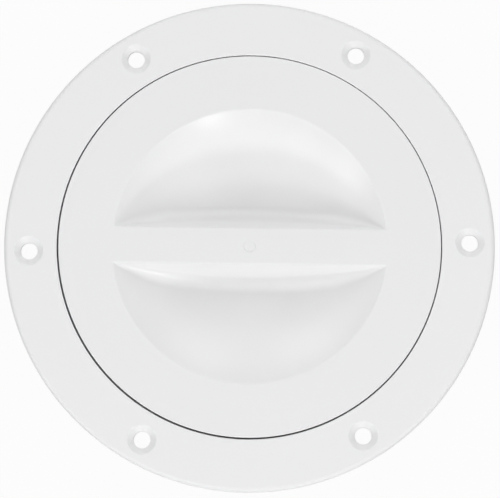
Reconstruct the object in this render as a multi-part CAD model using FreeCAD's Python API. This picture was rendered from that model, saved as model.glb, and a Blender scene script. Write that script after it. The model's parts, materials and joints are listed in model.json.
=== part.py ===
"""Round screw-in access hatch for a deck: a mounting ring, a lid that screws into it, and the seal on the lid.

The lid lies flush in the ring. Its middle is a dish with a bar across it, and fingers reach into the dish on
each side of the bar to turn the lid. Lengths are in millimetres.
The frame: Z points up out of the deck, z = 0 is the face of the ring that lies on the deck, the axis of the
ring is x = y = 0, and two of the screw holes lie on the X axis.
The radii are built up outwards from the clear opening, and the heights downwards from the top face.
"""

import FreeCAD, Part
import math
import os
from FreeCAD import Vector

# Opening and screw thread
clear_opening = 101.6
thread_pitch = 5.0
thread_turns = 1.2
thread_height = 1.8
thread_flank_angle = 15.0
thread_flank_gap = 0.35
thread_tip_gap = 0.4
thread_below_seat = 2.3
thread_end_angle = 30.0
thread_embed = 0.3

# Seal: a flat rubber ring, squeezed between the lid's plate and the ring's seat
seal_free_height = 2.64
seal_free_width = 2.4
seal_space = 2.2
seal_face_gap = 0.05
seal_inner_gap = 0.25
seal_outer_gap = 0.35

# Mounting ring: the flange on the deck
flange_thickness = 4.0
flange_edge_round = 1.4
flange_edge_flat_count = 2
screw_count = 6
screw_circle_inset = 5.8
flange_margin = 7.4
screw_hole_diameter = 5.0
countersink_diameter = 8.7
countersink_angle = 90.0

# Mounting ring: the collar in the deck's cut-out, and the threaded neck below it
collar_wall = 2.5
seat_thickness = 3.0
neck_wall = 2.6
neck_overhang = 4.0

# Lid
lid_edge_gap = 0.38
lid_plate_thickness = 2.8
lid_rest_angle = -1.8
lid_shift_x = 0.1
lid_shift_y = 0.12
stop_ledge = 1.1
stop_gap = 0.1
skirt_wall = 2.4
skirt_end = 1.3

# Dish and bar that the lid is turned by
dish_inset = 7.0
dish_depth = 15.0
dish_wall = 2.5
bar_width = 11.0
bar_draft = 16.0
bar_wall = 2.5
bar_foot_bevel = 1.0
grip_edge_round = 0.8
channel_end_wall = 5.0
web_count = 3
web_thickness = 2.0

# Stiffening ribs under the lid
rib_count = 6
rib_thickness = 1.8
rib_depth = 10.2
rib_first_angle = 30.0

# Seal section: squeezed to the height of its space, it grows as much wider as keeps its volume
seal_height = seal_space - 2 * seal_face_gap
seal_width = seal_free_height * seal_free_width / seal_height

# Radii, from the opening outwards
opening_radius = clear_opening / 2
bore_radius = opening_radius + thread_height
neck_radius = bore_radius + neck_wall
skirt_radius = opening_radius - thread_tip_gap
skirt_bore_radius = skirt_radius - skirt_wall
spigot_radius = bore_radius + stop_ledge
seal_inner_radius = spigot_radius + seal_inner_gap
rebate_radius = seal_inner_radius + seal_width + seal_outer_gap
lid_radius = rebate_radius - lid_edge_gap
collar_radius = rebate_radius + collar_wall
screw_circle_radius = collar_radius + screw_circle_inset
ring_radius = screw_circle_radius + flange_margin

# Thread section: the two ridges mesh with the flank gap between them
flank_slope = math.tan(math.radians(thread_flank_angle))
mesh_depth = thread_height - thread_tip_gap
flank_space = thread_flank_gap / math.cos(math.radians(thread_flank_angle))
crest_half_width = (thread_pitch / 2 - flank_space - mesh_depth * flank_slope) / 2
root_half_width = crest_half_width + thread_height * flank_slope

# Heights, from the top face downwards
lid_top = flange_thickness
plate_middle = lid_top - lid_plate_thickness / 2
plate_under = lid_top - lid_plate_thickness
seat = plate_under - seal_space
lid_stop = seat + stop_gap
collar_foot = seat - seat_thickness
ring_thread_start = seat - thread_below_seat - thread_pitch * thread_turns
lid_thread_start = ring_thread_start - thread_pitch / 2
skirt_foot = lid_thread_start - root_half_width - skirt_end
neck_foot = skirt_foot - neck_overhang

# Dish and bar
dish_radius = skirt_bore_radius - dish_inset
dish_sphere = (dish_radius ** 2 + dish_depth ** 2) / (2 * dish_depth)
dish_centre = lid_top - dish_depth + dish_sphere
bar_slope = math.tan(math.radians(bar_draft))
channel_length = 2 * (dish_radius - channel_end_wall)

ORIGIN = Vector(0, 0, 0)
AXIS = Vector(0, 0, 1)
ALONG_BAR = Vector(1, 0, 0)
OVERRUN = 3.0
SAME = 0.001


def turned(corners):
    """A solid turned about the axis from a closed outline of (radius, height) corners."""
    points = [Vector(radius, 0, height) for radius, height in corners]
    outline = Part.makePolygon(points + points[:1])
    return Part.Face(outline).revolve(ORIGIN, AXIS, 360)


def eased(centre_radius, centre_height, size, flats):
    """Corners of a quarter round, from straight up to straight out, drawn as a few flats."""
    corners = []
    for step in range(flats + 1):
        angle = math.pi / 2 * (1 - step / flats)
        corners.append((centre_radius + size * math.cos(angle), centre_height + size * math.sin(angle)))
    return corners


def run_out(surface_radius, outward, into_thread):
    """A block that cuts the end of a ridge to a slope. It stands at +X, and is turned and raised into place.

    outward is 1 where the ridge stands outwards from its surface and -1 where it stands inwards, and
    into_thread is 1 where the thread runs on along +Y from its end and -1 where it runs along -Y.
    """
    slope = math.radians(thread_end_angle)
    length = 2 * thread_height / math.sin(slope)
    foot = Vector(surface_radius, 0, 0)
    along = Vector(outward * math.sin(slope), into_thread * math.cos(slope), 0)
    away = Vector(outward * math.cos(slope), -into_thread * math.sin(slope), 0)
    corners = [foot - along * length, foot + along * length]
    corners += [corner + away * length for corner in reversed(corners)]
    block = Part.Face(Part.makePolygon(corners + corners[:1])).extrude(AXIS * thread_pitch)
    block.translate(AXIS * (-thread_pitch / 2))
    return block


def thread_ridge(surface_radius, outward, start_height):
    """A right-hand ridge on a round surface. Its middle starts at +X, at start_height, and both ends slope away."""
    root = surface_radius - outward * thread_embed
    crest = surface_radius + outward * thread_height
    root_half = root_half_width + thread_embed * flank_slope
    section = [
        Vector(root, 0, -root_half),
        Vector(crest, 0, -crest_half_width),
        Vector(crest, 0, crest_half_width),
        Vector(root, 0, root_half),
    ]
    outline = Part.makePolygon(section + section[:1])
    rise = thread_pitch * thread_turns
    path = Part.Wire(Part.makeHelix(thread_pitch, rise, root).Edges)
    ridge = path.makePipeShell([outline], True, True)
    first_end = run_out(surface_radius, outward, 1)
    last_end = run_out(surface_radius, outward, -1)
    last_end.rotate(ORIGIN, AXIS, 360 * thread_turns)
    last_end.translate(AXIS * rise)
    ridge = ridge.cut(first_end).cut(last_end)
    ridge.translate(AXIS * start_height)
    return ridge


def screw_hole(number):
    """The countersunk hole for one mounting screw, as a solid to cut away."""
    hole_radius = screw_hole_diameter / 2
    sink_radius = countersink_diameter / 2
    sink_slope = math.tan(math.radians(countersink_angle / 2))
    sink_depth = (sink_radius - hole_radius) / sink_slope
    mouth_radius = sink_radius + OVERRUN * sink_slope
    hole = Part.makeCylinder(hole_radius, flange_thickness + 2 * OVERRUN, Vector(0, 0, -OVERRUN))
    sink_foot = Vector(0, 0, flange_thickness - sink_depth)
    sink = Part.makeCone(hole_radius, mouth_radius, sink_depth + OVERRUN, sink_foot)
    cutter = hole.fuse(sink)
    cutter.translate(Vector(screw_circle_radius, 0, 0))
    cutter.rotate(ORIGIN, AXIS, number * 360 / screw_count)
    return cutter


def make_mounting_ring():
    """Flange, collar and neck as one moulding, with the thread inside the neck."""
    edge_radius = ring_radius - flange_edge_round
    edge_height = lid_top - flange_edge_round
    blank = turned([
        (rebate_radius, lid_top),
        *eased(edge_radius, edge_height, flange_edge_round, flange_edge_flat_count),
        (ring_radius, 0),
        (collar_radius, 0),
        (collar_radius, collar_foot),
        (neck_radius, collar_foot),
        (neck_radius, neck_foot),
        (bore_radius, neck_foot),
        (bore_radius, seat),
        (rebate_radius, seat),
    ])
    for number in range(screw_count):
        blank = blank.cut(screw_hole(number))
    return blank.fuse(thread_ridge(bore_radius, -1, ring_thread_start))


def dish_ball(radius, top):
    """A ball round the centre of the dish's curve, up to the height top. Its poles point along the bar."""
    ball = Part.makeSphere(radius, Vector(0, 0, dish_centre), ALONG_BAR)
    bottom = dish_centre - radius - OVERRUN
    corner = Vector(-radius, -radius, bottom)
    return ball.common(Part.makeBox(2 * radius, 2 * radius, top - bottom, corner))


def bar_block(half_width, top, bottom, length):
    """A drafted block along the bar, half_width wide to each side at the lid's top and wider below."""
    upper = half_width - (top - lid_top) * bar_slope
    lower = half_width + (lid_top - bottom) * bar_slope
    corners = [
        Vector(-length / 2, -upper, top),
        Vector(-length / 2, upper, top),
        Vector(-length / 2, lower, bottom),
        Vector(-length / 2, -lower, bottom),
    ]
    return Part.Face(Part.makePolygon(corners + corners[:1])).extrude(ALONG_BAR * length)


def finger_scoops():
    """The two hollows of the dish, one on each side of the bar, as solids to cut away."""
    bowl = dish_ball(dish_sphere, lid_top + OVERRUN)
    bar = bar_block(bar_width / 2, lid_top + 2 * OVERRUN, lid_top - dish_depth - OVERRUN, 4 * dish_radius)
    scoops = []
    for half in bowl.cut(bar).Solids:
        foot = min(half.Edges, key=lambda edge: edge.CenterOfMass.z)
        scoops.append(half.makeChamfer(bar_foot_bevel, [foot]))
    return scoops


def bar_channel():
    """The hollow under the bar, open below and crossed by webs, as a solid to cut away."""
    half_width = bar_width / 2 - bar_wall / math.cos(math.radians(bar_draft))
    bottom = lid_top - dish_depth - dish_wall - OVERRUN
    channel = bar_block(half_width, lid_top - bar_wall, bottom, channel_length)
    spacing = channel_length / (web_count + 1)
    for number in range(web_count):
        place = (number - (web_count - 1) / 2) * spacing
        corner = Vector(place - web_thickness / 2, -dish_radius, bottom - OVERRUN)
        web = Part.makeBox(web_thickness, 2 * dish_radius, lid_top - bottom + 2 * OVERRUN, corner)
        channel = channel.cut(web)
    return channel


def lid_rib(number):
    """A radial rib from the skirt to the dish, under the lid's plate."""
    inner_end = dish_radius / 2
    outer_end = skirt_radius - skirt_wall / 2
    foot = plate_under - rib_depth
    corner = Vector(inner_end, -rib_thickness / 2, foot)
    rib = Part.makeBox(outer_end - inner_end, rib_thickness, plate_middle - foot, corner)
    rib.rotate(ORIGIN, AXIS, rib_first_angle + number * 360 / rib_count)
    return rib


def round_grip_edges(lid):
    """Rounds the rim of both scoops, where they open in the lid's top."""
    rim = []
    for edge in lid.Edges:
        box = edge.BoundBox
        in_the_top = abs(box.ZMin - lid_top) < SAME and abs(box.ZMax - lid_top) < SAME
        in_the_dish = max(abs(box.XMin), abs(box.XMax), abs(box.YMin), abs(box.YMax)) < dish_radius + SAME
        if in_the_top and in_the_dish:
            rim.append(edge)
    return lid.makeFillet(grip_edge_round, rim)


def as_it_lies(piece):
    """The piece moved to where the lid lies in the ring, a little off the axis, as its clearance lets it."""
    piece.translate(Vector(lid_shift_x, lid_shift_y, 0))
    return piece


def make_screw_lid():
    """Plate, dish, bar, spigot and threaded skirt as one moulding."""
    blank = turned([
        (0, lid_top),
        (lid_radius, lid_top),
        (lid_radius, plate_under),
        (spigot_radius, plate_under),
        (spigot_radius, lid_stop),
        (skirt_radius, lid_stop),
        (skirt_radius, skirt_foot),
        (skirt_bore_radius, skirt_foot),
        (skirt_bore_radius, plate_under),
        (0, plate_under),
    ])
    blank = blank.fuse(dish_ball(dish_sphere + dish_wall, plate_middle))
    for number in range(rib_count):
        blank = blank.fuse(lid_rib(number))
    for scoop in finger_scoops():
        blank = blank.cut(scoop)
    blank = round_grip_edges(blank)
    blank = blank.cut(bar_channel())
    lid = blank.fuse(thread_ridge(skirt_radius, 1, lid_thread_start))
    lid.rotate(ORIGIN, AXIS, lid_rest_angle)
    return as_it_lies(lid)


def make_seal_ring():
    """The seal as it lies squeezed."""
    inner = seal_inner_radius
    outer = seal_inner_radius + seal_width
    top = plate_under - seal_face_gap
    foot = seat + seal_face_gap
    return as_it_lies(turned([(inner, foot), (outer, foot), (outer, top), (inner, top)]))


def write(name, shape):
    """Writes one piece as parts/name.step and prints its size."""
    solids = shape.Solids
    piece = solids[0] if len(solids) == 1 else Part.makeCompound(solids)
    piece.exportStep(os.path.join("parts", name + ".step"))
    box = shape.optimalBoundingBox()
    size = f"{box.XLength:.2f} x {box.YLength:.2f} x {box.ZLength:.2f} mm"
    print(f"{name}: {len(solids)} solid, {size}, {shape.Volume / 1000:.2f} cm3, valid {shape.isValid()}")


os.makedirs("parts", exist_ok=True)
write("mounting_ring", make_mounting_ring())
write("screw_lid", make_screw_lid())
write("seal_ring", make_seal_ring())
print(f"screw circle {2 * screw_circle_radius:.2f} mm, collar {2 * collar_radius:.2f} mm, neck {2 * neck_radius:.2f} mm")
print(f"neck foot {neck_foot:.2f} mm, skirt foot {skirt_foot:.2f} mm, dish {2 * dish_radius:.2f} mm")
print(f"thread crest {2 * crest_half_width:.2f} mm, root {2 * root_half_width:.2f} mm")
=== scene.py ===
# %% [markdown]
# # A round screw-in access hatch for a deck
#
# The hatch is three mouldings: a white mounting ring that is screwed to the deck, a white lid that turns
# into it on a coarse thread, and a black rubber seal between the two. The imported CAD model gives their
# places and sizes. This script makes smooth, finely rounded meshes in the same places, gives them
# moulded plastic and rubber, and lights them in a white studio.

# %% The frame and the sizes that it gives
import json
import math
import bmesh
import bpy
import numpy as np
from mathutils import Matrix, Vector


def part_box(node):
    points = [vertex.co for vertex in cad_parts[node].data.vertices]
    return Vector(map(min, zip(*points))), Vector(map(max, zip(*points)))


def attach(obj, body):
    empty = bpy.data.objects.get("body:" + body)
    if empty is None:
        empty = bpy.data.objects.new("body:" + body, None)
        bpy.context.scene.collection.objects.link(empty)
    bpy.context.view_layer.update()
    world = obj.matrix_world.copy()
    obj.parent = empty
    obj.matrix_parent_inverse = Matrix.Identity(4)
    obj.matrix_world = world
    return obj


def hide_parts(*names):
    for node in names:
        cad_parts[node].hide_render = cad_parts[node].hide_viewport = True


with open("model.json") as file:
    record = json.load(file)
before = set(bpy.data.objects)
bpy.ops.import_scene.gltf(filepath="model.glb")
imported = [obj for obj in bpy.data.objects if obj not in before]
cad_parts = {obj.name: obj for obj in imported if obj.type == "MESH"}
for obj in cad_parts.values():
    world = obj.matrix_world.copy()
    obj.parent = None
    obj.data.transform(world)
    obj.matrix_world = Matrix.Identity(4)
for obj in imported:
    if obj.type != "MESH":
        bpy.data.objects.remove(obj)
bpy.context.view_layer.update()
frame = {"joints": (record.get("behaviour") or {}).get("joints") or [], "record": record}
scene = bpy.context.scene
record = frame["record"]
MM = 0.001

mounts = {mount["name"]: mount for mount in record["mounts"]}
screw_dims = mounts["screw_holes"]["dims"]
collar_dims = mounts["cut_out_collar"]["dims"]
ring_low, ring_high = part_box("mounting_ring")
lid_low, lid_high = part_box("screw_lid")
seal_low, seal_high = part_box("seal_ring")
lid_turn = next(joint for joint in frame["joints"] if joint["name"] == "lid_turn")

lid_place = Vector(lid_turn["pos_m"])
ring_radius = min(ring_high.x, ring_high.y, -ring_low.x, -ring_low.y)
screw_circle_radius = screw_dims["pcd_mm"] / 2 * MM
screw_hole_radius = screw_dims["hole_r_mm"] * MM
collar_radius = collar_dims["r_mm"] * MM
lid_radius = min(lid_high.x - lid_place.x, lid_high.y - lid_place.y)
lid_top = ring_high.z
neck_foot = ring_low.z
skirt_foot = lid_low.z
print(f"ring {2 * ring_radius / MM:.2f} mm across, its top at {lid_top / MM:.2f} mm")
print(f"lid {2 * lid_radius / MM:.2f} mm across")

# %% [markdown]
# The frame holds the outer sizes. The walls, steps and rounds below are this hatch's own, in millimetres
# turned into metres. They follow the CAD model, which has the same steps with plainer edges. Each radius
# is built on the one before it, so the lid keeps its gap to the ring wherever the frame puts them.

# %% Walls and steps
collar_wall = 2.5 * MM
neck_wall = 2.6 * MM
skirt_wall = 2.4 * MM
plate_thickness = 2.8 * MM
seal_space_width = 3.617 * MM
seal_space_height = 2.2 * MM
stop_ledge = 1.1 * MM
stop_gap = 0.1 * MM
thread_height = 1.8 * MM
thread_tip_gap = 0.4 * MM

rebate_radius = collar_radius - collar_wall
spigot_radius = rebate_radius - seal_space_width
bore_radius = spigot_radius - stop_ledge
neck_radius = bore_radius + neck_wall
skirt_radius = bore_radius - thread_height - thread_tip_gap
skirt_bore_radius = skirt_radius - skirt_wall
plate_under = lid_top - plate_thickness
seat = plate_under - seal_space_height
lid_stop = seat + stop_gap
collar_foot = -collar_dims["length_mm"] * MM
print(f"neck {2 * bore_radius / MM:.2f} mm inside, skirt {2 * skirt_radius / MM:.2f} mm outside")

# %% [markdown]
# The thread's two ridges have the same section and mesh half a pitch apart, with a little air between
# them. The dish is part of a ball, which is worked out from how wide and how deep the dish is.

# %% Thread, dish and bar
thread_pitch = 5.0 * MM
thread_turns = 1.2
thread_crest_half = 0.88 * MM
thread_root_half = 1.363 * MM
skirt_end = 1.3 * MM
lid_thread_start = skirt_foot + skirt_end + thread_root_half
ring_thread_start = lid_thread_start + thread_pitch / 2

dish_inset = 7.0 * MM
dish_depth = 15.0 * MM
dish_wall = 2.5 * MM
bar_half_width = 5.5 * MM
bar_draft = math.radians(16.0)
bar_angle = math.radians(-1.8)
dish_radius = skirt_bore_radius - dish_inset
dish_sphere = (dish_radius ** 2 + dish_depth ** 2) / (2 * dish_depth)
dish_centre = lid_top - dish_depth + dish_sphere
print(f"dish {2 * dish_radius / MM:.2f} mm wide, part of a ball of radius {dish_sphere / MM:.2f} mm")

circle_steps = 320
round_steps = 10
smooth_angle = math.radians(12.0)
weld_distance = 0.002 * MM

# %% [markdown]
# Many outlines here are turned about an axis, and what makes them look moulded is the small round on
# each corner. Blender smooths the shading across an edge, so a wide flat beside a round would look
# slightly bowed. A support point close to each end of the round keeps the flat flat. `rounded` draws an
# outline from its corners, each with its own round size, and adds those support points.

# %% A helper for outlines with rounded corners
support = 0.08 * MM


def rounded(corners, closed=True):
    """Points of an outline in the (radius, height) plane. A corner is (radius, height, round size)."""
    points = []
    for index, (radius, height, size) in enumerate(corners):
        here = Vector((radius, height))
        at_end = not closed and index in (0, len(corners) - 1)
        if size == 0 or at_end:
            points.append(here)
            continue
        before = Vector(corners[index - 1][:2])
        after = Vector(corners[(index + 1) % len(corners)][:2])
        back = (before - here).normalized()
        on = (after - here).normalized()
        half = back.angle(on) / 2
        reach = size / math.tan(half)
        centre = here + (back + on).normalized() * (size / math.sin(half))
        points.append(here + back * (reach + support))
        first = here + back * reach - centre
        last = here + on * reach - centre
        turn = first.angle_signed(last)
        steps = max(2, math.ceil(abs(turn) / (math.pi / 2) * round_steps))
        for step in range(steps + 1):
            spin = Matrix.Rotation(-turn * step / steps, 2)
            points.append(centre + spin @ first)
        points.append(here + on * (reach + support))
    return points


# %% [markdown]
# Geometry Nodes do the turning, the repeating and the threads. A tree is a small program that Blender
# runs on an object, and building it in a script keeps every size as a named input. `node` adds one node
# and wires or sets its inputs, and `worked_out` adds one that works out a number from two. Every tree
# ends the same way, in `end_tree`: cutting and joining can leave points that all but meet, so it welds
# those before it smooths the shading.

# %% Helpers for node trees
def node(tree, kind, inputs=None, **settings):
    """Adds a node to a tree. An input is another node's socket to link, or a plain value."""
    made = tree.nodes.new(kind)
    for key, value in settings.items():
        setattr(made, key, value)
    for key, value in (inputs or {}).items():
        if isinstance(value, bpy.types.NodeSocket):
            tree.links.new(value, made.inputs[key])
        else:
            made.inputs[key].default_value = value
    return made


def worked_out(tree, operation, first, second):
    """One number from two, each a socket or a plain value."""
    return node(tree, "ShaderNodeMath", {0: first, 1: second}, operation=operation).outputs[0]


def start_tree(name, inputs):
    """A new geometry tree with its named inputs, and the sockets that they come out of."""
    tree = bpy.data.node_groups.new(name, "GeometryNodeTree")
    tree.interface.new_socket("Geometry", in_out="OUTPUT", socket_type="NodeSocketGeometry")
    for label, kind in inputs.items():
        tree.interface.new_socket(label, in_out="INPUT", socket_type="NodeSocket" + kind)
    return tree, tree.nodes.new("NodeGroupInput").outputs


def end_tree(tree, mesh, material):
    """Realizes and welds the result, smooths all but its sharp edges, and gives it its material."""
    whole = node(tree, "GeometryNodeRealizeInstances", {"Geometry": mesh})
    real = node(tree, "GeometryNodeMergeByDistance", {
        "Geometry": whole.outputs[0],
        "Distance": weld_distance,
    })
    angle = node(tree, "GeometryNodeInputMeshEdgeAngle")
    gentle = node(tree, "FunctionNodeCompare", {
        0: angle.outputs[0],
        1: smooth_angle,
    }, operation="LESS_THAN")
    faces = node(tree, "GeometryNodeSetShadeSmooth", {"Geometry": real.outputs[0]}, domain="FACE")
    edges = node(tree, "GeometryNodeSetShadeSmooth", {
        "Geometry": faces.outputs[0],
        "Shade Smooth": gentle.outputs[0],
    }, domain="EDGE")
    coat = node(tree, "GeometryNodeSetMaterial", {"Geometry": edges.outputs[0], "Material": material})
    node(tree, "NodeGroupOutput", {0: coat.outputs[0]})


# %% [markdown]
# `grow` runs a tree on an object, with its inputs set, and keeps the result as a plain mesh, because a
# finished piece should not depend on a modifier. The trees also need something to turn or to follow. An
# outline object holds a section, and a stem object holds an upright line that says how wide a cutter is
# at each height.

# %% Helpers that run a tree and feed it
def grow(name, tree, values, start=None):
    """Runs a tree on an object and returns the object with the result as its plain mesh."""
    piece = bpy.data.objects.new(name, start or bpy.data.meshes.new(name))
    scene.collection.objects.link(piece)
    modifier = piece.modifiers.new(tree.name, "NODES")
    modifier.node_group = tree
    for socket in tree.interface.items_tree:
        if socket.in_out == "INPUT" and socket.name in values:
            modifier[socket.identifier] = values[socket.name]
    shapes = bpy.context.evaluated_depsgraph_get()
    mesh = bpy.data.meshes.new_from_object(piece.evaluated_get(shapes), depsgraph=shapes)
    mesh.name = name
    bpy.data.objects.remove(piece)
    result = bpy.data.objects.new(name, mesh)
    scene.collection.objects.link(result)
    print(f"{name}: {len(mesh.polygons)} faces")
    return result


def outline_object(name, points, centre_radius=0.0):
    """A closed flat curve from outline points. X is the radius beyond centre_radius, Y the height down."""
    curve = bpy.data.curves.new(name, "CURVE")
    curve.dimensions = "3D"
    spline = curve.splines.new("POLY")
    spline.points.add(len(points) - 1)
    for place, point in zip(spline.points, points):
        place.co = (point.x - centre_radius, -point.y, 0, 1)
    spline.use_cyclic_u = True
    shape = bpy.data.objects.new(name, curve)
    scene.collection.objects.link(shape)
    return shape


def stem_object(name, steps):
    """An upright curve from (radius, height) steps. Its curve radius says how wide the stem is."""
    curve = bpy.data.curves.new(name, "CURVE")
    curve.dimensions = "3D"
    spline = curve.splines.new("POLY")
    spline.points.add(len(steps) - 1)
    for place, (radius, height) in zip(spline.points, steps):
        place.co = (0, 0, height, 1)
        place.radius = radius
    shape = bpy.data.objects.new(name, curve)
    scene.collection.objects.link(shape)
    return shape


# %% [markdown]
# The plastic on both mouldings is white, satin and clean. Real moulded plastic is never one flat value:
# it has a very fine spark-eroded grain that softens its highlights, and slow changes of gloss where the
# mould was polished a little more or less. Noise on Object coordinates, which are metres here, gives
# both. The rubber is nearly black, with a dusty bloom.

# %% Materials
plastic_white = (0.81, 0.81, 0.815)
rubber_black = (0.02, 0.02, 0.021)
slow_noise_scale = 22.0
grain_size = 0.25 * MM


def surface(name, colour, colour_change, roughness, roughness_change, grain_height):
    """A material with slow changes of colour and roughness, and a fine grain, all by Object coordinates."""
    material = bpy.data.materials.new(name)
    material.use_nodes = True
    tree = material.node_tree
    tree.nodes.clear()
    place = node(tree, "ShaderNodeTexCoord").outputs["Object"]
    slow = node(tree, "ShaderNodeTexNoise", {"Vector": place, "Scale": slow_noise_scale})
    fine = node(tree, "ShaderNodeTexNoise", {"Vector": place, "Scale": 1 / grain_size})
    light = tuple(value * (1 + colour_change) for value in colour)
    dark = tuple(value * (1 - colour_change) for value in colour)
    tint = node(tree, "ShaderNodeMix", {"Factor": slow.outputs["Fac"]}, data_type="RGBA")
    tint.inputs[6].default_value = (*dark, 1)
    tint.inputs[7].default_value = (*light, 1)
    shine = node(tree, "ShaderNodeMapRange", {
        "Value": slow.outputs["Fac"],
        "To Min": roughness - roughness_change,
        "To Max": roughness + roughness_change,
    })
    bump = node(tree, "ShaderNodeBump", {"Height": fine.outputs["Fac"], "Distance": grain_height})
    coat = node(tree, "ShaderNodeBsdfPrincipled", {
        "Base Color": tint.outputs[2],
        "Roughness": shine.outputs[0],
        "Normal": bump.outputs[0],
    })
    node(tree, "ShaderNodeOutputMaterial", {"Surface": coat.outputs[0]})
    print(f"material {name}: {len(tree.nodes)} nodes")
    return material


ring_plastic = surface(
    "ring_plastic", plastic_white, colour_change=0.008,
    roughness=0.42, roughness_change=0.05, grain_height=0.004 * MM,
)
lid_plastic = surface(
    "lid_plastic", plastic_white, colour_change=0.008,
    roughness=0.3, roughness_change=0.04, grain_height=0.003 * MM,
)
seal_rubber = surface(
    "seal_rubber", rubber_black, colour_change=0.2,
    roughness=0.62, roughness_change=0.08, grain_height=0.02 * MM,
)

# %% [markdown]
# A few small pieces of node tree serve the whole hatch. The first turns an outline about the axis, by
# following a small circle with the outline as its section, drawn relative to that circle. The second
# makes a turned cutter: an upright line with a circle as its section, wider and narrower along its
# length.

# %% Node trees for turned shapes and cutters
path_radius = 10 * MM


def turn_outline(tree, outline):
    """Turns an outline object about the axis."""
    circle = node(tree, "GeometryNodeCurvePrimitiveCircle", {
        "Resolution": circle_steps,
        "Radius": path_radius,
    })
    upright = node(tree, "GeometryNodeSetCurveNormal", {"Curve": circle.outputs[0]}, mode="Z_UP")
    section = node(tree, "GeometryNodeObjectInfo", {"Object": outline})
    skin = node(tree, "GeometryNodeCurveToMesh", {
        "Curve": upright.outputs[0],
        "Profile Curve": section.outputs["Geometry"],
    })
    return skin.outputs[0]


def turn_stem(tree, stem, resolution):
    """Turns a stem object into a solid: a circle follows it, scaled to the curve radius at each point."""
    line = node(tree, "GeometryNodeObjectInfo", {"Object": stem})
    circle = node(tree, "GeometryNodeCurvePrimitiveCircle", {
        "Resolution": resolution,
        "Radius": 1.0,
    })
    skin = node(tree, "GeometryNodeCurveToMesh", {
        "Curve": line.outputs["Geometry"],
        "Profile Curve": circle.outputs[0],
        "Scale": node(tree, "GeometryNodeInputRadius").outputs[0],
        "Fill Caps": True,
    })
    return skin.outputs[0]


# %% [markdown]
# The thread is a spiral with a ridge as its section. Blender's spiral turns clockwise as it rises, so it
# is reversed to make a right-hand thread. Its normals are set to point sideways, so the ridge stands
# square on its wall, and its scale falls to almost nothing at both ends, as a moulded thread does. The
# section starts a little inside the wall, so that the two join cleanly.

# %% A node tree for the thread
thread_embed = 0.3 * MM
thread_flank = math.radians(15.0)
thread_crest_round = 0.25 * MM
thread_steps = 240
thread_end_share = 0.012
thread_end_scale = 0.1


def thread_ridge(tree, sockets, radius, outward, start):
    """A right-hand ridge on a wall of that radius, standing outwards (1) or inwards (-1) from it."""
    root_half = thread_root_half + thread_embed * math.tan(thread_flank)
    root = (-outward * thread_embed, root_half, 0)
    crest = (outward * thread_height, thread_crest_half, thread_crest_round)
    inner, outer = (root, crest) if outward > 0 else (crest, root)
    outline = rounded([
        inner,
        outer,
        (outer[0], -outer[1], outer[2]),
        (inner[0], -inner[1], inner[2]),
    ])
    section = node(tree, "GeometryNodeObjectInfo", {"Object": outline_object("thread_section", outline)})
    rise = worked_out(tree, "MULTIPLY", sockets["Thread Pitch"], sockets["Thread Turns"])
    spiral = node(tree, "GeometryNodeCurveSpiral", {
        "Resolution": thread_steps,
        "Rotations": sockets["Thread Turns"],
        "Start Radius": radius,
        "End Radius": radius,
        "Height": rise,
        "Reverse": True,
    })
    upright = node(tree, "GeometryNodeSetCurveNormal", {"Curve": spiral.outputs[0]}, mode="Z_UP")
    along = node(tree, "GeometryNodeSplineParameter").outputs["Factor"]
    run_in = node(tree, "ShaderNodeMapRange", {
        "Value": along, "From Max": thread_end_share, "To Min": thread_end_scale,
    })
    run_out = node(tree, "ShaderNodeMapRange", {
        "Value": along, "From Min": 1 - thread_end_share, "To Min": 1.0, "To Max": thread_end_scale,
    })
    scale = worked_out(tree, "MINIMUM", run_in.outputs[0], run_out.outputs[0])
    skin = node(tree, "GeometryNodeCurveToMesh", {
        "Curve": upright.outputs[0],
        "Profile Curve": section.outputs["Geometry"],
        "Scale": scale,
        "Fill Caps": True,
    })
    raised = node(tree, "GeometryNodeTransform", {
        "Geometry": skin.outputs[0],
        "Translation": (0, 0, start),
    })
    return raised.outputs[0]


# %% [markdown]
# Three more pieces of tree finish the set. A section carried along a straight line makes a rib or a
# channel. Copies round the axis turn one rib or one hole cutter into six. And a union or a difference of
# two closed meshes is what adds them or takes them away.

# %% Node trees for straight shapes, copies and cuts
def carry_outline(tree, outline, start, end):
    """A solid with an outline as its section, from start straight to end, with closed ends."""
    line = node(tree, "GeometryNodeCurvePrimitiveLine", {"Start": start, "End": end})
    upright = node(tree, "GeometryNodeSetCurveNormal", {"Curve": line.outputs[0]}, mode="Z_UP")
    section = node(tree, "GeometryNodeObjectInfo", {"Object": outline})
    skin = node(tree, "GeometryNodeCurveToMesh", {
        "Curve": upright.outputs[0],
        "Profile Curve": section.outputs["Geometry"],
        "Fill Caps": True,
    })
    return skin.outputs[0]


def around_axis(tree, solid, count, radius, angle=0.0):
    """Copies of a solid evenly round the axis at that radius, each turned to face outwards."""
    ring = node(tree, "GeometryNodeMeshCircle", {"Vertices": count, "Radius": radius})
    place = node(tree, "GeometryNodeInputPosition")
    facing = node(tree, "FunctionNodeAlignRotationToVector", {
        "Vector": place.outputs[0],
    }, axis="X", pivot_axis="Z")
    copies = node(tree, "GeometryNodeInstanceOnPoints", {
        "Points": ring.outputs[0],
        "Instance": solid,
        "Rotation": facing.outputs[0],
    })
    turned = node(tree, "GeometryNodeTransform", {
        "Geometry": copies.outputs[0],
        "Rotation": (0, 0, angle),
    })
    real = node(tree, "GeometryNodeRealizeInstances", {"Geometry": turned.outputs[0]})
    return real.outputs[0]


def joined(tree, kind, first, second):
    """Union, or difference, of two closed meshes."""
    solids = node(tree, "GeometryNodeMeshBoolean", operation=kind, solver="MANIFOLD")
    if kind == "UNION":
        tree.links.new(first, solids.inputs["Mesh 2"])
    else:
        tree.links.new(first, solids.inputs["Mesh 1"])
    tree.links.new(second, solids.inputs["Mesh 2"])
    return solids.outputs[0]


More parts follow.
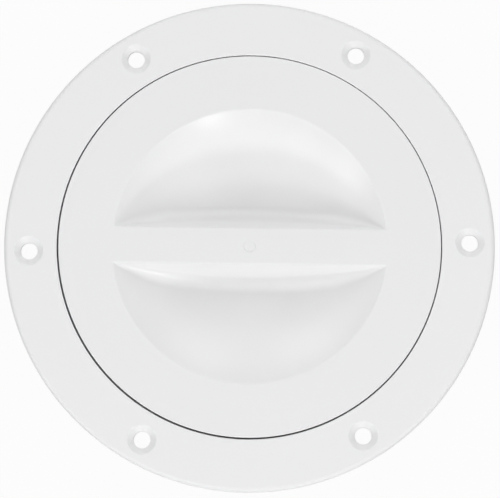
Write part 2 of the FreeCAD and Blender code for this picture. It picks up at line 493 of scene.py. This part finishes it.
# %% [markdown]
# The mounting ring is one moulding: a flat flange on the deck, a rebate that the lid lies in, a collar
# that fits the cut-out, and a threaded neck. All of it but the holes and the thread is one turned
# outline. Its corners are where a moulding shows its quality: the flange's upper edge has a wide round
# that catches the light all the way round, and the edges of the rebate are nearly sharp.

# %% The ring's outline
flange_edge_round = 1.4 * MM
small_round = 0.3 * MM
foot_round = 0.6 * MM

ring_outline = rounded([
    (rebate_radius, lid_top, small_round),
    (ring_radius, lid_top, flange_edge_round),
    (ring_radius, 0, small_round),
    (collar_radius, 0, small_round),
    (collar_radius, collar_foot, foot_round),
    (neck_radius, collar_foot, small_round),
    (neck_radius, neck_foot, foot_round),
    (bore_radius, neck_foot, foot_round),
    (bore_radius, seat, small_round),
    (rebate_radius, seat, small_round),
])
print(f"ring outline: {len(ring_outline)} points")

# %% [markdown]
# The six countersunk holes are one cutter, repeated. The countersink is a cone, and its mouth flares in
# a last small curve towards the flange's face, so its edge isn't a knife edge. The cutter runs on past
# both faces of the flange, because a cut that ends exactly in a face leaves slivers.

# %% The screw holes' cutter
sink_radius = 4.35 * MM
sink_cone_angle = math.radians(45)
sink_mouth_round = 0.3 * MM
sink_mouth_end = math.radians(76)
sink_mouth_steps = 6
overrun = 2 * MM

mouth = []
flare_centre_radius = sink_radius + sink_mouth_round * math.tan(sink_cone_angle / 2)
for step in range(sink_mouth_steps + 1):
    angle = sink_cone_angle + (sink_mouth_end - sink_cone_angle) * step / sink_mouth_steps
    radius = flare_centre_radius - sink_mouth_round * math.cos(angle)
    height = lid_top - sink_mouth_round + sink_mouth_round * math.sin(angle)
    mouth.append((radius, height))
last_radius, last_height = mouth[-1]
screw_stem = stem_object("screw_stem", [
    (screw_hole_radius, -overrun),
    (screw_hole_radius, lid_top - (sink_radius - screw_hole_radius)),
    *mouth,
    (last_radius + overrun / math.tan(math.pi / 2 - sink_mouth_end), last_height + overrun),
])
print(f"countersink's mouth {2 * last_radius / MM:.2f} mm wide")

# %% [markdown]
# The ring's tree puts these together: it turns the outline, cuts the holes and adds the thread inside
# the neck. Its inputs are the sizes that another hatch would change first.

# %% The mounting ring
screw_count = screw_dims["count"]
screw_hole_sides = 64
ring_tree, ring_sockets = start_tree("mounting_ring", {
    "Screw Circle Radius": "Float",
    "Screw Count": "Int",
    "Thread Pitch": "Float",
    "Thread Turns": "Float",
})
turned_ring = turn_outline(ring_tree, outline_object("ring_outline", ring_outline, path_radius))
hole_cutters = around_axis(
    ring_tree,
    turn_stem(ring_tree, screw_stem, screw_hole_sides),
    ring_sockets["Screw Count"],
    ring_sockets["Screw Circle Radius"],
)
drilled_ring = joined(ring_tree, "DIFFERENCE", turned_ring, hole_cutters)
ring_ridge = thread_ridge(ring_tree, ring_sockets, bore_radius, -1, ring_thread_start)
end_tree(ring_tree, joined(ring_tree, "UNION", drilled_ring, ring_ridge), ring_plastic)
mounting_ring = grow("mounting_ring_moulding", ring_tree, {
    "Screw Circle Radius": screw_circle_radius,
    "Screw Count": screw_count,
    "Thread Pitch": thread_pitch,
    "Thread Turns": thread_turns,
})
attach(mounting_ring, "ring")
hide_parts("mounting_ring")

# %% [markdown]
# The dish and the grip bar are the eye of this hatch, and their surface flows: the bowl is part of a
# large ball, its rim rolls over into the flat top, the bar's walls lean out as they go down, and a
# fillet that grows with the depth joins bar and bowl. Modelling that by hand takes many edge loops, and
# a subdivided cage would pull the flats out of true. Here the surface is a formula instead. Two distance
# functions say how far a point is from the bar and from the bowl's wall, and a fillet blends them.
# Halving a range of heights again and again at each point of a grid finds the height where the air ends.

# %% The height of the lid's top
grip_edge_round = 0.8 * MM
bar_foot_round = 4.0 * MM
fillet_share = 0.5
least_fillet = 0.001 * MM
height_halvings = 40
rim_centre_height = lid_top - grip_edge_round
rim_centre_radius = math.sqrt(
    (dish_sphere + grip_edge_round) ** 2 - (dish_centre - rim_centre_height) ** 2
)
bar_edge_shift = grip_edge_round * (1 - math.sin(bar_draft)) / math.cos(bar_draft)
bar_top_half = bar_half_width - bar_edge_shift


def bowl_distance(radius, height):
    """Distance from the bowl's wall, its rolled rim and the flat top, positive in the air."""
    across = radius - rim_centre_radius
    up = height - rim_centre_height
    wall = dish_sphere - np.hypot(radius, height - dish_centre)
    rim = np.hypot(across, up) - grip_edge_round
    beside_rim = across * (dish_centre - rim_centre_height) + up * rim_centre_radius > 0
    dished = np.where(beside_rim, rim, wall)
    return np.where(across > 0, height - lid_top, dished)


def bar_distance(across, height):
    """Distance from the bar, whose walls lean out below and whose two upper edges are rounded."""
    across = np.abs(across)
    wall = (across - bar_half_width) * math.cos(bar_draft) + (height - lid_top) * math.sin(bar_draft)
    top = height - lid_top
    edge = np.hypot(across - bar_top_half, height - rim_centre_height) - grip_edge_round
    up = height - rim_centre_height
    leaning = up * math.cos(bar_draft) - (across - bar_top_half) * math.sin(bar_draft)
    at_edge = (across > bar_top_half) & (leaning > 0)
    return np.where(at_edge, edge, np.maximum(wall, top))


def top_height(x, y):
    """Height of the lid's top surface at each point."""
    radius = np.hypot(x, y)
    low = np.full_like(radius, lid_top - dish_depth - MM)
    high = np.full_like(radius, lid_top + MM)
    for _ in range(height_halvings):
        middle = (low + high) / 2
        fillet = np.clip(fillet_share * (lid_top - middle), least_fillet, bar_foot_round)
        bar_reach = np.maximum(fillet - bar_distance(y, middle), 0)
        bowl_reach = np.maximum(fillet - bowl_distance(radius, middle), 0)
        in_air = fillet > np.hypot(bar_reach, bowl_reach)
        high = np.where(in_air, middle, high)
        low = np.where(in_air, low, middle)
    return (low + high) / 2


# %% [markdown]
# The grid's columns run away from the bar on both sides, out to a circle just beyond the rolled rim.
# Even rows would waste faces on the flats and miss the small rounds. So each column is first walked in
# fine steps, and its rows are then set where an even mix of distance and turning says.

# %% The grid of the dish
dish_columns = 168
dish_rows = 84
fine_rows = 500
turning_share = 0.55
beyond_rim = 0.15 * MM
inside_bar = 0.05 * MM
tiny = 1e-9
field_radius = rim_centre_radius + beyond_rim
strip_half = bar_top_half - inside_bar
corner_angle = math.asin(strip_half / field_radius)

column_angles = np.linspace(corner_angle, math.pi - corner_angle, dish_columns)
column_x = field_radius * np.cos(column_angles)
column_end = field_radius * np.sin(column_angles)
fine_share = np.linspace(0, 1, fine_rows)
fine_y = strip_half + np.outer(column_end - strip_half, fine_share)
fine_z = top_height(np.broadcast_to(column_x[:, None], fine_y.shape), fine_y)

step_y = np.diff(fine_y, axis=1)
step_z = np.diff(fine_z, axis=1)
length = np.hypot(step_y, step_z)
slope = np.arctan2(step_z, np.maximum(step_y, tiny))
turning = np.abs(np.diff(slope, axis=1, prepend=slope[:, :1]))
share = (1 - turning_share) * length / np.maximum(length.sum(axis=1, keepdims=True), tiny)
share += turning_share * turning / np.maximum(turning.sum(axis=1, keepdims=True), tiny)
walked = np.concatenate([np.zeros((dish_columns, 1)), np.cumsum(share, axis=1)], axis=1)
walked /= np.maximum(walked[:, -1:], tiny)
even_share = np.linspace(0, 1, dish_rows)
row_y = np.array([
    np.interp(even_share, walked[column], fine_y[column]) for column in range(dish_columns)
])
row_z = top_height(np.broadcast_to(column_x[:, None], row_y.shape), row_y)
row_z[:, [0, -1]] = lid_top
print(f"dish bottom {row_z.min() / MM:.2f} mm, {dish_columns} columns of {dish_rows} rows")

# %% [markdown]
# Outside that circle everything on the lid is round, so one outline is turned about the axis: the rim,
# the spigot that carries the seal, the threaded skirt, and underneath the ball-shaped back of the dish.
# The turned part uses the same angles as the grid's edge, point for point, so the two are one closed
# skin with no seam.

# %% The lid's turned outline
rim_round = 0.3 * MM
skirt_foot_round = 0.7 * MM
inner_corner_round = 1.2 * MM
back_sphere = dish_sphere + dish_wall
back_steps = 36
end_steps = 6

back_start = math.acos((dish_centre - plate_under) / back_sphere)
back = []
for step in range(1, back_steps):
    angle = back_start * (1 - step / back_steps)
    back.append((back_sphere * math.sin(angle), dish_centre - back_sphere * math.cos(angle), 0))
lid_outline = rounded([
    (field_radius, lid_top, 0),
    (lid_radius, lid_top, rim_round),
    (lid_radius, plate_under, rim_round),
    (spigot_radius, plate_under, small_round),
    (spigot_radius, lid_stop, small_round),
    (skirt_radius, lid_stop, small_round),
    (skirt_radius, skirt_foot, skirt_foot_round),
    (skirt_bore_radius, skirt_foot, skirt_foot_round),
    (skirt_bore_radius, plate_under, inner_corner_round),
    (back_sphere * math.sin(back_start), plate_under, inner_corner_round),
    *back,
], closed=False)

end_angles = np.linspace(-corner_angle, corner_angle, end_steps)[1:-1]
angles = np.concatenate([
    end_angles, column_angles, math.pi + end_angles, 2 * math.pi - column_angles[::-1]
])
print(f"lid outline: {len(lid_outline)} points, turned in {len(angles)} steps")

# %% [markdown]
# Now the skin is put together point by point. Both halves of the dish grid run from the bar to the
# circle, a flat strip covers the bar between them, and then ring after ring of points follows the
# outline down and back to one point under the middle. At the two ends of the bar a whole column of the
# grid shrinks to one point, so `face` leaves out the repeats. A check at the end counts the edges that
# don't join exactly two faces.

# %% The lid's closed skin
def lid_skin():
    """One closed mesh: the dish grid, the bar's flat strip, the turned rest and the pole under the dish."""
    skin = bmesh.new()

    def point(x, y, z):
        return skin.verts.new((x, y, z))

    halves = []
    for side in (1, -1):
        grid = []
        for column in range(dish_columns):
            at_corner = column in (0, dish_columns - 1)
            x = column_x[column]
            if at_corner:
                grid.append([point(x, side * strip_half, lid_top)] * dish_rows)
                continue
            grid.append([point(x, side * y, z) for y, z in zip(row_y[column], row_z[column])])
        halves.append(grid)

    def face(corners):
        distinct = list(dict.fromkeys(corners))
        if len(distinct) > 2:
            skin.faces.new(distinct)

    for side, grid in zip((1, -1), halves):
        for left, right in zip(grid[1:], grid[:-1]):
            for row in range(dish_rows - 1):
                corners = [left[row], right[row], right[row + 1], left[row + 1]]
                face(corners[::side])
    upper, lower = halves
    for column in range(dish_columns - 1):
        face([lower[column + 1][0], lower[column][0], upper[column][0], upper[column + 1][0]])

    def bar_end(side):
        reach = side * field_radius
        return [point(reach * math.cos(a), reach * math.sin(a), lid_top) for a in end_angles]

    right_end = bar_end(1)
    left_end = bar_end(-1)
    upper_edge = [column[-1] for column in upper]
    lower_edge = [column[-1] for column in lower]
    face([lower_edge[0], *right_end, upper_edge[0]])
    face([upper_edge[-1], *left_end, lower_edge[-1]])

    ring = [*right_end, *upper_edge, *left_end, *lower_edge[::-1]]
    for radius, height in lid_outline[1:]:
        below = [point(radius * math.cos(a), radius * math.sin(a), height) for a in angles]
        for index in range(len(ring)):
            on = (index + 1) % len(ring)
            face([ring[on], ring[index], below[index], below[on]])
        ring = below
    pole = point(0, 0, dish_centre - back_sphere)
    for index in range(len(ring)):
        face([ring[(index + 1) % len(ring)], ring[index], pole])

    mesh = bpy.data.meshes.new("lid_skin")
    skin.to_mesh(mesh)
    volume = skin.calc_volume(signed=True)
    open_edges = sum(not edge.is_manifold for edge in skin.edges)
    skin.free()
    print(f"lid skin: {len(mesh.polygons)} faces, {volume * 1e6:.2f} cm3, {open_edges} open edges")
    return mesh


lid_blank = lid_skin()

# %% [markdown]
# What is left of the lid repeats or follows a rule, so a node tree adds it to that skin: six radial ribs
# from the dish to the skirt, the hollow under the bar with its three webs, the small round mark where
# the mould was filled, and the thread. The ribs start in the middle of the dish's wall and end in the
# middle of the skirt, so that each runs into both walls and shows nowhere else.

# %% The outline of a rib
rib_count = 6
rib_thickness = 1.8 * MM
rib_depth = 10.2 * MM
rib_first_angle = math.radians(30.0)
rib_steps = 16

rib_foot = plate_under - rib_depth
plate_middle = lid_top - plate_thickness / 2
wall_sphere = dish_sphere + dish_wall / 2
rib_outline = []
for step in range(rib_steps + 1):
    height = plate_middle + (rib_foot - plate_middle) * step / rib_steps
    rib_outline.append(Vector((math.sqrt(wall_sphere ** 2 - (dish_centre - height) ** 2), height)))
skirt_middle = (skirt_radius + skirt_bore_radius) / 2
rib_outline += [Vector((skirt_middle, rib_foot)), Vector((skirt_middle, plate_middle))]
print(f"rib outline: {len(rib_outline)} points, {(plate_middle - rib_foot) / MM:.2f} mm tall")

# %% [markdown]
# The bar is hollow underneath, because a thick lump of plastic would sink in as it cools. The hollow has
# the bar's own draft, one wall's thickness further in, and its cutter runs on below the dish. The mark
# is a very shallow round dent with a bevel at its foot.

# %% The hollow under the bar, and the mark
bar_wall = 2.5 * MM
channel_end_wall = 5.0 * MM
channel_round = 0.8 * MM
channel_overrun = 3 * MM
mark_radius = 1.8 * MM
mark_depth = 0.2 * MM
mark_bevel = 0.15 * MM

channel_length = 2 * (dish_radius - channel_end_wall)
channel_top = lid_top - bar_wall
channel_foot = lid_top - dish_depth - dish_wall - channel_overrun
channel_top_half = bar_half_width - bar_wall / math.cos(bar_draft) + bar_wall * math.tan(bar_draft)
channel_foot_half = channel_top_half + (channel_top - channel_foot) * math.tan(bar_draft)
channel_outline = rounded([
    (-channel_foot_half, channel_foot, 0),
    (-channel_top_half, channel_top, channel_round),
    (channel_top_half, channel_top, channel_round),
    (channel_foot_half, channel_foot, 0),
])
mark_stem = stem_object("mark_stem", [
    (mark_radius - mark_bevel, lid_top - mark_depth),
    (mark_radius, lid_top - mark_depth + mark_bevel),
    (mark_radius + mark_bevel, lid_top + overrun),
])
print(f"hollow {channel_length / MM:.2f} mm long and {2 * channel_top_half / MM:.2f} mm wide at its top")

# %% [markdown]
# The lid's tree starts from the skin. A rib is the rib outline carried a short way across, half its
# thickness to each side, and copied round the axis.

# %% Ribs on the lid
lid_tree, lid_sockets = start_tree("screw_lid", {
    "Geometry": "Geometry",
    "Rib Count": "Int",
    "Rib Thickness": "Float",
    "Web Count": "Int",
    "Web Thickness": "Float",
    "Thread Pitch": "Float",
    "Thread Turns": "Float",
})
half_rib = worked_out(lid_tree, "MULTIPLY", lid_sockets["Rib Thickness"], 0.5)
rib_sides = []
for side in (-1, 1):
    face_place = node(lid_tree, "ShaderNodeVectorMath", {
        0: (0, side, 0),
        "Scale": half_rib,
    }, operation="SCALE")
    rib_sides.append(face_place.outputs[0])
rib_shape = outline_object("rib_outline", rib_outline[::-1], path_radius)
one_rib = carry_outline(lid_tree, rib_shape, *rib_sides)
ribs = around_axis(lid_tree, one_rib, lid_sockets["Rib Count"], path_radius, rib_first_angle)
ribbed_lid = joined(lid_tree, "UNION", lid_sockets["Geometry"], ribs)
print(f"{rib_count} ribs, {rib_thickness / MM:.1f} mm thick")

# %% [markdown]
# The webs are made the other way round. Three plates, more than tall and wide enough, are first cut out
# of the channel's cutter. What is left of the cutter then takes the hollow out of the lid, and leaves
# the lid's own plastic standing where the plates were.

# %% Hollow, webs and mark
web_count = 3
web_thickness = 2.0 * MM
web_reach = 2 * dish_radius
web_height = 4 * dish_depth
mark_sides = 48

half_channel = Vector((channel_length / 2, 0, 0))
channel_shape = outline_object("channel_outline", channel_outline)
channel = carry_outline(lid_tree, channel_shape, -half_channel, half_channel)
web_size = node(lid_tree, "ShaderNodeCombineXYZ", {
    "X": lid_sockets["Web Thickness"],
    "Y": web_reach,
    "Z": web_height,
})
web_spacing = channel_length / (web_count + 1)
web_row = node(lid_tree, "GeometryNodeMeshLine", {
    "Count": lid_sockets["Web Count"],
    "Start Location": (-web_spacing * (web_count - 1) / 2, 0, 0),
    "Offset": (web_spacing, 0, 0),
})
one_web = node(lid_tree, "GeometryNodeMeshCube", {"Size": web_size.outputs[0]})
web_copies = node(lid_tree, "GeometryNodeInstanceOnPoints", {
    "Points": web_row.outputs[0],
    "Instance": one_web.outputs[0],
})
webs = node(lid_tree, "GeometryNodeRealizeInstances", {"Geometry": web_copies.outputs[0]})
webbed_channel = joined(lid_tree, "DIFFERENCE", channel, webs.outputs[0])
hollow_lid = joined(lid_tree, "DIFFERENCE", ribbed_lid, webbed_channel)
marked_lid = joined(lid_tree, "DIFFERENCE", hollow_lid, turn_stem(lid_tree, mark_stem, mark_sides))
print(f"{web_count} webs, {web_spacing / MM:.2f} mm apart")

# %% [markdown]
# The thread on the skirt is added next, and then the lid is put in its place: turned a little against
# the ring and slightly off its axis, as a lid that someone has screwed in is.

# %% The lid
lid_ridge = thread_ridge(lid_tree, lid_sockets, skirt_radius, 1, lid_thread_start)
whole_lid = joined(lid_tree, "UNION", marked_lid, lid_ridge)
placed_lid = node(lid_tree, "GeometryNodeTransform", {
    "Geometry": whole_lid,
    "Translation": lid_place,
    "Rotation": (0, 0, bar_angle),
})
end_tree(lid_tree, placed_lid.outputs[0], lid_plastic)
screw_lid = grow("screw_lid_moulding", lid_tree, {
    "Rib Count": rib_count,
    "Rib Thickness": rib_thickness,
    "Web Count": web_count,
    "Web Thickness": web_thickness,
    "Thread Pitch": thread_pitch,
    "Thread Turns": thread_turns,
}, start=lid_blank)
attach(screw_lid, "lid")
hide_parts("screw_lid")

# %% [markdown]
# The seal is a flat rubber ring, squeezed between the lid's plate and the ring's seat. All that shows of
# it is a dark line at the bottom of the gap round the lid. It is turned like the ring, with well rounded
# corners.

# %% The seal
seal_corner_round = 0.5 * MM
seal_inner_gap = 0.25 * MM
seal_inner = spigot_radius + seal_inner_gap
seal_outer = min(seal_high.x, seal_high.y) - max(lid_place.x, lid_place.y)
seal_outline = rounded([
    (seal_inner, seal_high.z, seal_corner_round),
    (seal_outer, seal_high.z, seal_corner_round),
    (seal_outer, seal_low.z, seal_corner_round),
    (seal_inner, seal_low.z, seal_corner_round),
])
seal_tree = start_tree("seal_ring", {})[0]
turned_seal = turn_outline(seal_tree, outline_object("seal_outline", seal_outline, path_radius))
placed_seal = node(seal_tree, "GeometryNodeTransform", {
    "Geometry": turned_seal,
    "Translation": lid_place,
})
end_tree(seal_tree, placed_seal.outputs[0], seal_rubber)
seal_ring = grow("seal_ring_rubber", seal_tree, {})
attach(seal_ring, "seal")
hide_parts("seal_ring")

# %% [markdown]
# The drawn outlines and stems have done their work, so they go. A finished scene holds only what is
# seen.

# %% Tidy up
for shape in [shape for shape in scene.collection.objects if shape.type == "CURVE"]:
    bpy.data.objects.remove(shape)
print(f"pieces: {[piece.name for piece in (mounting_ring, screw_lid, seal_ring)]}")

# %% [markdown]
# The studio is white. The floor is lit, so it keeps the hatch's soft shadow, but for the camera it is
# mostly white light of its own, so the hatch stands on a clean white sheet. `seen_directly` tells the
# two apart.

# %% The floor
floor_half = 3.0
floor_gap = 0.05 * MM
floor_own_light = 0.96
floor_grey = 0.4


def seen_directly(tree):
    """One where a ray comes from the camera, a gloss or a transparency, and zero for soft light."""
    ray = node(tree, "ShaderNodeLightPath").outputs
    either = worked_out(tree, "MAXIMUM", ray["Is Camera Ray"], ray["Is Glossy Ray"])
    return worked_out(tree, "MAXIMUM", either, ray["Is Transmission Ray"])


floor_paper = bpy.data.materials.new("floor_paper")
floor_paper.use_nodes = True
paper = floor_paper.node_tree
paper.nodes.clear()
lit_paper = node(paper, "ShaderNodeBsdfDiffuse", {"Color": (floor_grey, floor_grey, floor_grey, 1)})
own_light = node(paper, "ShaderNodeEmission", {"Color": (1, 1, 1, 1), "Strength": 1.0})
glow = worked_out(paper, "MULTIPLY", seen_directly(paper), floor_own_light)
paper_mix = node(paper, "ShaderNodeMixShader", {
    0: glow,
    1: lit_paper.outputs[0],
    2: own_light.outputs[0],
})
node(paper, "ShaderNodeOutputMaterial", {"Surface": paper_mix.outputs[0]})

corner_signs = ((-1, -1), (1, -1), (1, 1), (-1, 1))
floor_corners = [(x * floor_half, y * floor_half, neck_foot - floor_gap) for x, y in corner_signs]
floor_mesh = bpy.data.meshes.new("floor")
floor_mesh.from_pydata(floor_corners, [], [(0, 1, 2, 3)])
floor_mesh.materials.append(floor_paper)
floor = bpy.data.objects.new("floor", floor_mesh)
scene.collection.objects.link(floor)
print(f"floor {floor_gap / MM:.2f} mm below the hatch")

# %% [markdown]
# The world does the same: what the camera sees of it is white, and what it gives the hatch is a soft,
# even light.

# %% The world
world_light = 0.19
world = bpy.data.worlds.new("studio")
scene.world = world
world.use_nodes = True
sky = world.node_tree
sky.nodes.clear()
soft_light = node(sky, "ShaderNodeBackground", {"Color": (1, 1, 1, 1), "Strength": world_light})
white = node(sky, "ShaderNodeBackground", {"Color": (1, 1, 1, 1), "Strength": 1.0})
sky_mix = node(sky, "ShaderNodeMixShader", {
    0: seen_directly(sky),
    1: soft_light.outputs[0],
    2: white.outputs[0],
})
node(sky, "ShaderNodeOutputWorld", {"Surface": sky_mix.outputs[0]})
print(f"world light {world_light}")

# %% [markdown]
# On an all-white object the form is told only by how bright each slope is. So the hatch stands in a ring
# of soft lamps, all equally far off, as in a light tent. Together the ones in front are a little
# stronger than those behind, and the slopes that face the front come out brighter than those that face
# away. The ones called spot are there for the bright streaks along the rolled rim and in the dish. The
# strengths were worked out from pictures with one lamp at a time, then rounded and changed.

# %% Lamps
lamp_distance = 1.2


def soft_lamp(name, azimuth, elevation, size, strength):
    """A square area lamp that looks at the hatch. Azimuth 0 is in front (-Y), 90 to the right (+X)."""
    lamp = bpy.data.lights.new(name, "AREA")
    lamp.size = size
    lamp.energy = strength
    shown = bpy.data.objects.new(name, lamp)
    turn = math.radians(azimuth)
    rise = math.radians(elevation)
    towards = Vector((math.sin(turn) * math.cos(rise), -math.cos(turn) * math.cos(rise), math.sin(rise)))
    shown.location = towards * lamp_distance
    shown.rotation_euler = towards.to_track_quat("Z", "Y").to_euler()
    scene.collection.objects.link(shown)


lamps = (
    # name, azimuth, elevation, size in metres, strength in watts
    ("high_front", 0, 67, 0.5, 0.5),
    ("front", 0, 47, 0.5, 0.7),
    ("high_left", -50, 64, 0.4, 0.8),
    ("high_right", 50, 64, 0.4, 0.7),
    ("left_front", -45, 45, 0.7, 1.2),
    ("right_front", 45, 45, 0.6, 1.9),
    ("right_back", 135, 45, 0.7, 1.5),
    ("back", 180, 52, 0.6, 1.8),
    ("left_back", -135, 32, 0.7, 0.7),
    ("left_side", -90, 45, 0.7, 0.4),
    ("low_front", 0, 28, 0.7, 1.2),
    ("low_left_front", -45, 20, 0.7, 1.3),
    ("low_right_front", 45, 20, 0.7, 1.3),
    ("low_right_back", 135, 20, 0.7, 0.7),
    ("low_back", 180, 20, 0.8, 1.5),
    ("left_spot", -60, 23, 0.35, 1.3),
    ("left_front_spot", -28, 33, 0.25, 0.5),
    ("right_back_spot", 157, 22, 0.5, 1.4),
    ("left_back_spot", 208, 23, 0.5, 1.4),
    ("rim_spot", 17, 16, 0.16, 2.1),
)
for name, azimuth, elevation, size, strength in lamps:
    soft_lamp(name, azimuth, elevation, size, strength)
print(f"{len(lamps)} lamps, {sum(lamp[-1] for lamp in lamps):.1f} W")

# %% [markdown]
# The camera stands almost straight above, leaning a few degrees towards the viewer's side, with a long
# lens from far off. That keeps the circles nearly true, as in a catalogue picture.

# %% The camera
camera_distance = 1.2
lean_right = 0.0104
lean_front = -0.0876
camera_roll = math.radians(-0.97)
focal_length = 289.7
sensor_width = 36.0
view_depth = 10.0
aim = Vector((0.17 * MM, -0.38 * MM, 0))

towards_camera = Vector((lean_right, lean_front, math.sqrt(1 - lean_right ** 2 - lean_front ** 2)))
up_hint = Vector((-math.sin(camera_roll), math.cos(camera_roll), 0))
right = up_hint.cross(towards_camera).normalized()
up = towards_camera.cross(right)
lens = bpy.data.cameras.new("camera")
lens.lens = focal_length
lens.sensor_width = sensor_width
lens.clip_end = view_depth
camera = bpy.data.objects.new("camera", lens)
camera.matrix_world = Matrix((right, up, towards_camera)).transposed().to_4x4()
camera.location = aim + towards_camera * camera_distance
scene.collection.objects.link(camera)
scene.camera = camera
scene.view_settings.view_transform = "Standard"
print(f"camera {camera_distance} m off, {focal_length} mm lens")
